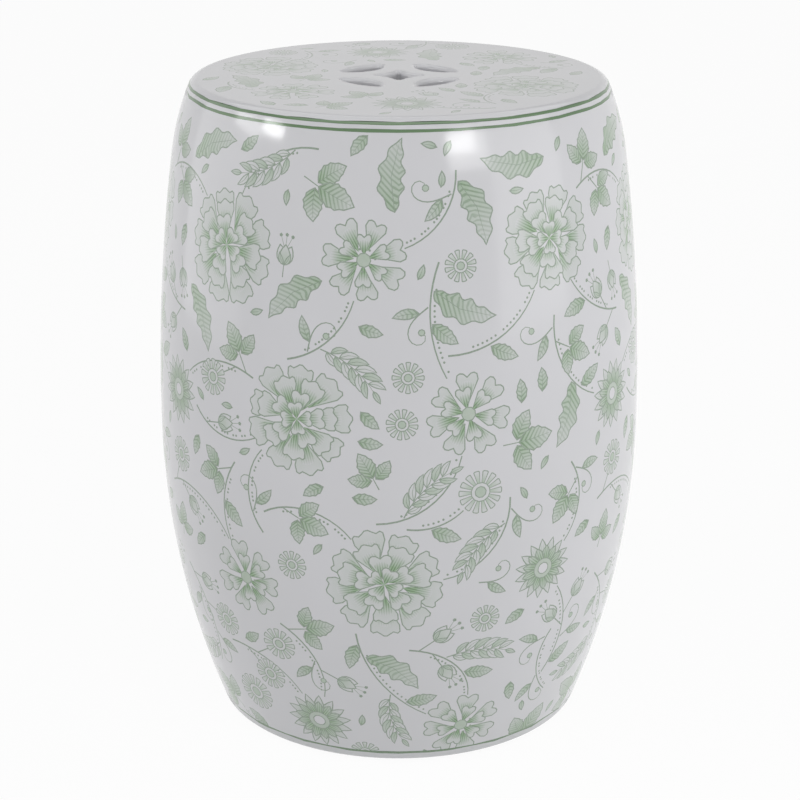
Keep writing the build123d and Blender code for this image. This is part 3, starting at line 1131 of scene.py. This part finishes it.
def coin_star():
    """Outline of the star: hollow sides that bow towards the centre, and rounded tips on the diagonals."""
    corner = STAR_TIP_RADIUS / math.sqrt(2)
    side_x = (STAR_TIP_RADIUS**2 - STAR_WAIST_RADIUS**2) / (2 * (corner - STAR_WAIST_RADIUS))
    size = side_x - STAR_WAIST_RADIUS
    reach = size + STAR_TIP_ROUND
    tip = (side_x - math.sqrt(2 * reach**2 - side_x**2)) / 2
    lean = math.atan2(tip, side_x - tip)
    quarter = np.concatenate([
        swept(side_x, 0, size, math.pi + lean, math.pi - lean, STAR_SIDE_STEPS, -1),
        swept(tip, tip, STAR_TIP_ROUND, -lean, math.pi / 2 + lean, TIP_STEPS),
    ])
    return np.concatenate([turned_by(quarter, k * math.pi / 2) for k in range(4)])


pierced = [turned_by(lens_slot(), k * math.tau / SLOTS) for k in range(SLOTS)] + [coin_star()]

# The flat's print: a wreath between the coin and the seat's edge. Each of its large flowers has its radius,
# its place round the seat in degrees and its distance from the middle.
WREATH_INNER_RADIUS = 48
WREATH_MARGIN = 2
WREATH_SPAN = 600.0
WREATH_STEM_LENGTH = 40
WREATH_FILL = 0.6
SEAT_SEED = 11
flat_radius = seat_edge.r


def on_flat(x, y):
    return WREATH_INNER_RADIUS < math.hypot(x, y) < flat_radius - WREATH_MARGIN


def spot_on_flat(draw):
    radius = draw.uniform(WREATH_INNER_RADIUS + WREATH_MARGIN, flat_radius)
    return polar(radius, draw.uniform(0, math.tau))


wreath = Sheet(WREATH_SPAN, on_flat, lambda y: 1.0, SEAT_SEED)
wreath_flowers = (
    (peony, 36, 20, 92), (open_flower, 27, 88, 96), (sun_daisy, 23, 145, 88),
    (peony, 35, 205, 95), (open_flower, 27, 265, 90), (sun_daisy, 23, 318, 97),
)
flowers = []
for make, r, degrees, radius in wreath_flowers:
    x, y = polar(radius, math.radians(degrees))
    wreath.add(make(r, wreath.draw), x, y)
    flowers.append((x, y, r))
for x, y, r in flowers:
    wreath.branch(x, y, STEM_MEETS * r, WREATH_STEM_LENGTH)
wreath.fill(spot_on_flat, WREATH_FILL)

# The seat's bake map: the flat as a large disc, the underside as a small one, and strips for the rest.
FLAT_MAP = (0.395, 0.605, 0.385)
UNDERSIDE_MAP = (0.89, 0.32, 0.09)
SEAT_STRIPS = Strips(REPEATS, 0.01, 0.065, 0.0598, joint_v, outline_length)
SPIGOT_STRIP = (0.207, 0.214)
SEAT_JOINT_STRIP = (0.215, 0.219)
HOLE_MAP = (0.8, 0.55)
HOLE_MAP_SIZE = (0.19, 0.07)
HOLE_MAP_STEP = 0.08


def level_patch(radius, inner, marks, holes, z, up, disc_map):
    """A round level face of the seat, with the coin left open."""
    flat, tris, inks = inked(ring(radius, AROUND), inner, marks, holes)
    places = np.insert(flat, 2, z, axis=1)
    normals = np.zeros_like(places) + (0, 0, up)
    x, y, size = disc_map
    return Patch(places, normals, np.array([x, y]) + flat * (size / radius), tris, inks)


def pierced_wall(hole, index):
    """The rounded rim and the wall of one hole of the coin."""
    hole = np.concatenate([hole, hole[:1]])
    edge, out = hole[:, :2], hole[:, 2:]
    places, normals = [], []
    for angle in np.linspace(0, math.pi / 2, RIM_STEPS):
        c, s = math.cos(angle), math.sin(angle)
        rim = edge + GLAZED_RIM_RADIUS * (1 - s) * out
        places.append(np.insert(rim, 2, SEAT_Z - GLAZED_RIM_RADIUS * (1 - c), axis=1))
        normals.append(np.insert(-s * out, 2, c, axis=1))
    places.append(np.insert(edge, 2, SEAT_UNDERSIDE_Z, axis=1))
    normals.append(normals[-1])
    across, up = np.meshgrid(np.linspace(0, 1, len(hole)), np.linspace(0, 1, len(places)))
    x, y = HOLE_MAP
    wide, high = HOLE_MAP_SIZE
    maps = np.stack([x + wide * across.ravel(), y + HOLE_MAP_STEP * index + high * up.ravel()], axis=1)
    tris = grid_tris(len(places), len(hole))
    return Patch(np.concatenate(places), np.concatenate(normals), maps, tris, plain(GLAZED, tris))


SHOULDER_STEPS = 4
SEAT_EDGE_STEPS = 10
FLAT_RINGS = (60, 75, 90, 105, 120)
FLAT_RING_POINTS = 24

edge_v = outline_length - arc_length(seat_edge)
levels = np.linspace(joint_v, edge_v, SHOULDER_STEPS + 1)[:-1].tolist()
levels += np.linspace(edge_v, outline_length, SEAT_EDGE_STEPS + 1).tolist()
seat_patches = printed_skin(levels, SEAT_STRIPS)
seat_patches.append(joint_ring(seat_patches, SPIGOT_RADIUS, -1, SEAT_JOINT_STRIP))

walls = [hole[:, :2].tolist() for hole in pierced]
rims = [(hole[:, :2] + GLAZED_RIM_RADIUS * hole[:, 2:]).tolist() for hole in pierced]
inner = []
for i, r in enumerate(FLAT_RINGS):
    shift = 0.5 * (i % 2)
    inner += [polar(r, math.tau * (k + shift) / FLAT_RING_POINTS) for k in range(FLAT_RING_POINTS)]
seat_patches.append(level_patch(flat_radius, inner, wreath.marks, rims, SEAT_Z, 1, FLAT_MAP))
under_radius = SPIGOT_INNER_RADIUS - INNER_CORNER_RADIUS
underside = level_patch(under_radius, [], [], walls, SEAT_UNDERSIDE_Z, -1, UNDERSIDE_MAP)
seat_patches.append(underside._replace(inks=plain(BARE, underside.tris)))
seat_patches += [pierced_wall(hole, index) for index, hole in enumerate(pierced)]

recess = Arc(under_radius, SEAT_UNDERSIDE_Z - INNER_CORNER_RADIUS, INNER_CORNER_RADIUS, 0, math.pi / 2)
lead_r, lead_z, slope = SPIGOT_RADIUS - SPIGOT_LEAD, SPIGOT_Z + SPIGOT_LEAD, math.sqrt(0.5)
spigot = [
    (SPIGOT_RADIUS, JOINT_Z, 1, 0), (SPIGOT_RADIUS, lead_z, 1, 0),
    (SPIGOT_RADIUS, lead_z, slope, -slope), (lead_r, SPIGOT_Z, slope, -slope),
    (lead_r, SPIGOT_Z, 0, -1), (SPIGOT_INNER_RADIUS, SPIGOT_Z, 0, -1),
    (SPIGOT_INNER_RADIUS, SPIGOT_Z, -1, 0), *arc_rows(recess, recess.start, recess.end, CORNER_STEPS, -1),
]
seat_patches.append(turned(spigot, BARE, SPIGOT_STRIP))

seat = made_of("seat", seat_patches)
seat.data.materials.append(printed_glaze)
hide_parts("seat_slab")
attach(seat, "root")

# Foot pads: four soft black discs stuck under the bare foot, so that it doesn't grate on the floor. They
# are die-cut from rubber sheet, matt, with a fine pebble on the face and paler where they are worn.
RUBBER = (0.022, 0.022, 0.023, 1)
RUBBER_WORN = (0.055, 0.054, 0.052, 1)
foot_rubber, start = new_finish("foot_rubber")
spot = start.node("TexCoord", {}, {}, "Object")
pebble = start.node("TexVoronoi", {"feature": "SMOOTH_F1"}, {"Vector": spot, "Scale": 900.0}, "Distance")
wear = start.noise(spot, 260.0, 4.0)
body = start.node("BsdfPrincipled", {}, {
    "Base Color": wear.mixed(RUBBER, RUBBER_WORN),
    "Roughness": 0.62 + 0.25 * wear,
    "Normal": start.node("Bump", {}, {"Strength": 0.6, "Distance": 0.0003, "Height": pebble}),
})
start.node("OutputMaterial", {}, {"Surface": body})
for number in range(1, 5):
    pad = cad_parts[f"foot_pad_{number}"]
    pad.data.materials.clear()
    pad.data.materials.append(foot_rubber)

# Studio: a white sheet for a floor, soft lamps, cards that only show in the glaze, and the camera at the
# photograph's angle. Lens and place come from fitting the stool's outline, lines and seat ellipse to it.
CAMERA_DISTANCE = 1.4325
CAMERA_HEIGHT = 0.7224
CAMERA_PITCH = 0.3378
CAMERA_TURN = math.radians(45.0)
CAMERA_ASIDE = 0.0005
LENS = 95.8
SENSOR = 36.0

lens = bpy.data.cameras.new("camera")
lens.lens, lens.sensor_width = LENS, SENSOR
camera = bpy.data.objects.new("camera", lens)
side, front = CAMERA_DISTANCE * math.sin(CAMERA_TURN), CAMERA_DISTANCE * math.cos(CAMERA_TURN)
camera.location = (side, -front, CAMERA_HEIGHT)
camera.rotation_euler = (math.pi / 2 - CAMERA_PITCH, 0, CAMERA_TURN - CAMERA_ASIDE)
bpy.context.scene.collection.objects.link(camera)
bpy.context.scene.camera = camera

FLOOR_SIZE = 30.0
FLOOR_DROP = 0.0001
FLOOR_PAPER = (0.88, 0.88, 0.88, 1)
WHITE = (1, 1, 1, 1)
GLOW_SHARE = 0.95
PAINTED_SHADE_RADIUS = 0.085
PAINTED_SHADE_EDGE_RADIUS = 0.112
WORLD_LIGHT = 0.35


def shown_in(start):
    """1 for the rays that show a backdrop: from the camera, off the glaze and through something clear."""
    rays = start.node("LightPath", {}, {}, "Is Camera Ray")
    return rays + rays.out("Is Glossy Ray") + rays.out("Is Transmission Ray")


# The sheet shows white, but for the faint shadow and a painted shade in a disc inside the foot, and is open
# from below.
floor_mesh = bpy.data.meshes.new("floor")
half = FLOOR_SIZE / 2
floor_corners = [(-half, -half, 0), (half, -half, 0), (half, half, 0), (-half, half, 0)]
floor_mesh.from_pydata(floor_corners, [], [(0, 1, 2, 3)])
floor = bpy.data.objects.new("floor", floor_mesh)
floor.location.z = -FLOOR_DROP
bpy.context.scene.collection.objects.link(floor)
white_floor, start = new_finish("white_floor")
spot = start.node("TexCoord", {}, {}, "Object")
# Painted shade: the glow fades out in a disc under the stool's hollow, so the paper shows only its own dim
# shading there.
from_axis = start.node("VectorMath", {"operation": "LENGTH"}, {0: spot}, "Value")
outside = start.node("MapRange", {}, {
    "Value": from_axis, "From Min": PAINTED_SHADE_RADIUS, "From Max": PAINTED_SHADE_EDGE_RADIUS,
})
paper = start.node("BsdfDiffuse", {}, {"Color": FLOOR_PAPER})
glow = start.node("Emission", {}, {"Color": WHITE, "Strength": 1.0})
face = start.node("MixShader", {}, {0: GLOW_SHARE * shown_in(start) * outside, 1: paper, 2: glow})
below = start.node("NewGeometry", {}, {}, "Backfacing")
clear = start.node("BsdfTransparent", {}, {})
both = start.node("MixShader", {}, {0: below, 1: face, 2: clear})
start.node("OutputMaterial", {}, {"Surface": both})
floor_mesh.materials.append(white_floor)

world = bpy.data.worlds.new("studio")
bpy.context.scene.world = world
world.use_nodes = True
world.node_tree.nodes.clear()
start = Shade(world.node_tree)
light = start.node("Background", {}, {"Color": WHITE, "Strength": WORLD_LIGHT})
white = start.node("Background", {}, {"Color": WHITE, "Strength": 1.0})
sky = start.node("MixShader", {}, {0: shown_in(start), 1: light, 2: white})
start.node("OutputWorld", {}, {"Surface": sky})

LAMP_AIM_Z = 0.35


def soft_lamp(name, azimuth, distance, up, size, brightness, lights=True, shows=True):
    """A soft lamp that points at the stool, at an azimuth from the camera, to the right, in degrees. It
    lights the stool, shows in its glaze, or does both."""
    lamp = bpy.data.lights.new(name, "AREA")
    lamp.shape, lamp.size, lamp.size_y = "RECTANGLE", *size
    lamp.energy = brightness * math.pi * size[0] * size[1]
    stand = bpy.data.objects.new(name, lamp)
    angle = CAMERA_TURN - math.pi / 2 + math.radians(azimuth)
    stand.location = (distance * math.cos(angle), distance * math.sin(angle), up)
    aim = Vector((0, 0, min(up, LAMP_AIM_Z))) - stand.location
    stand.rotation_euler = aim.to_track_quat("-Z", "Y").to_euler()
    stand.visible_diffuse, stand.visible_glossy = lights, shows
    bpy.context.scene.collection.objects.link(stand)


# Panels light the stool, spots make its highlights, and cards are pale shapes for the glaze to mirror.
soft_lamp("left_panel", -50, 1.8, 0.9, (1.4, 1.4), 1.14, shows=False)
soft_lamp("right_panel", 74, 1.6, 0.55, (2.6, 1.05), 1.38, shows=False)
soft_lamp("front_panel", 0, 1.3, 1.8, (1.4, 1.0), 0.74)
soft_lamp("top_card", 0, 0.01, 1.6, (2.4, 2.4), 1.3, lights=False)
soft_lamp("low_panel", 60, 0.9, 0.12, (1.1, 0.2), 0.37, shows=False)
soft_lamp("left_spot", -68, 1.5, 1.0, (0.34, 0.14), 14)
soft_lamp("left_tail", -84, 1.5, 0.92, (0.5, 0.16), 4)
soft_lamp("left_card", -97, 1.2, 0.6, (1.0, 1.2), 0.7, lights=False)
soft_lamp("right_spot", 34, 1.5, 0.96, (0.54, 0.42), 3.6)
soft_lamp("right_core", 32, 1.48, 1.07, (0.38, 0.26), 7, lights=False)
soft_lamp("right_card", 64, 1.6, 0.7, (1.16, 1.4), 1.2, lights=False)

bpy.context.scene.view_settings.view_transform = "Standard"
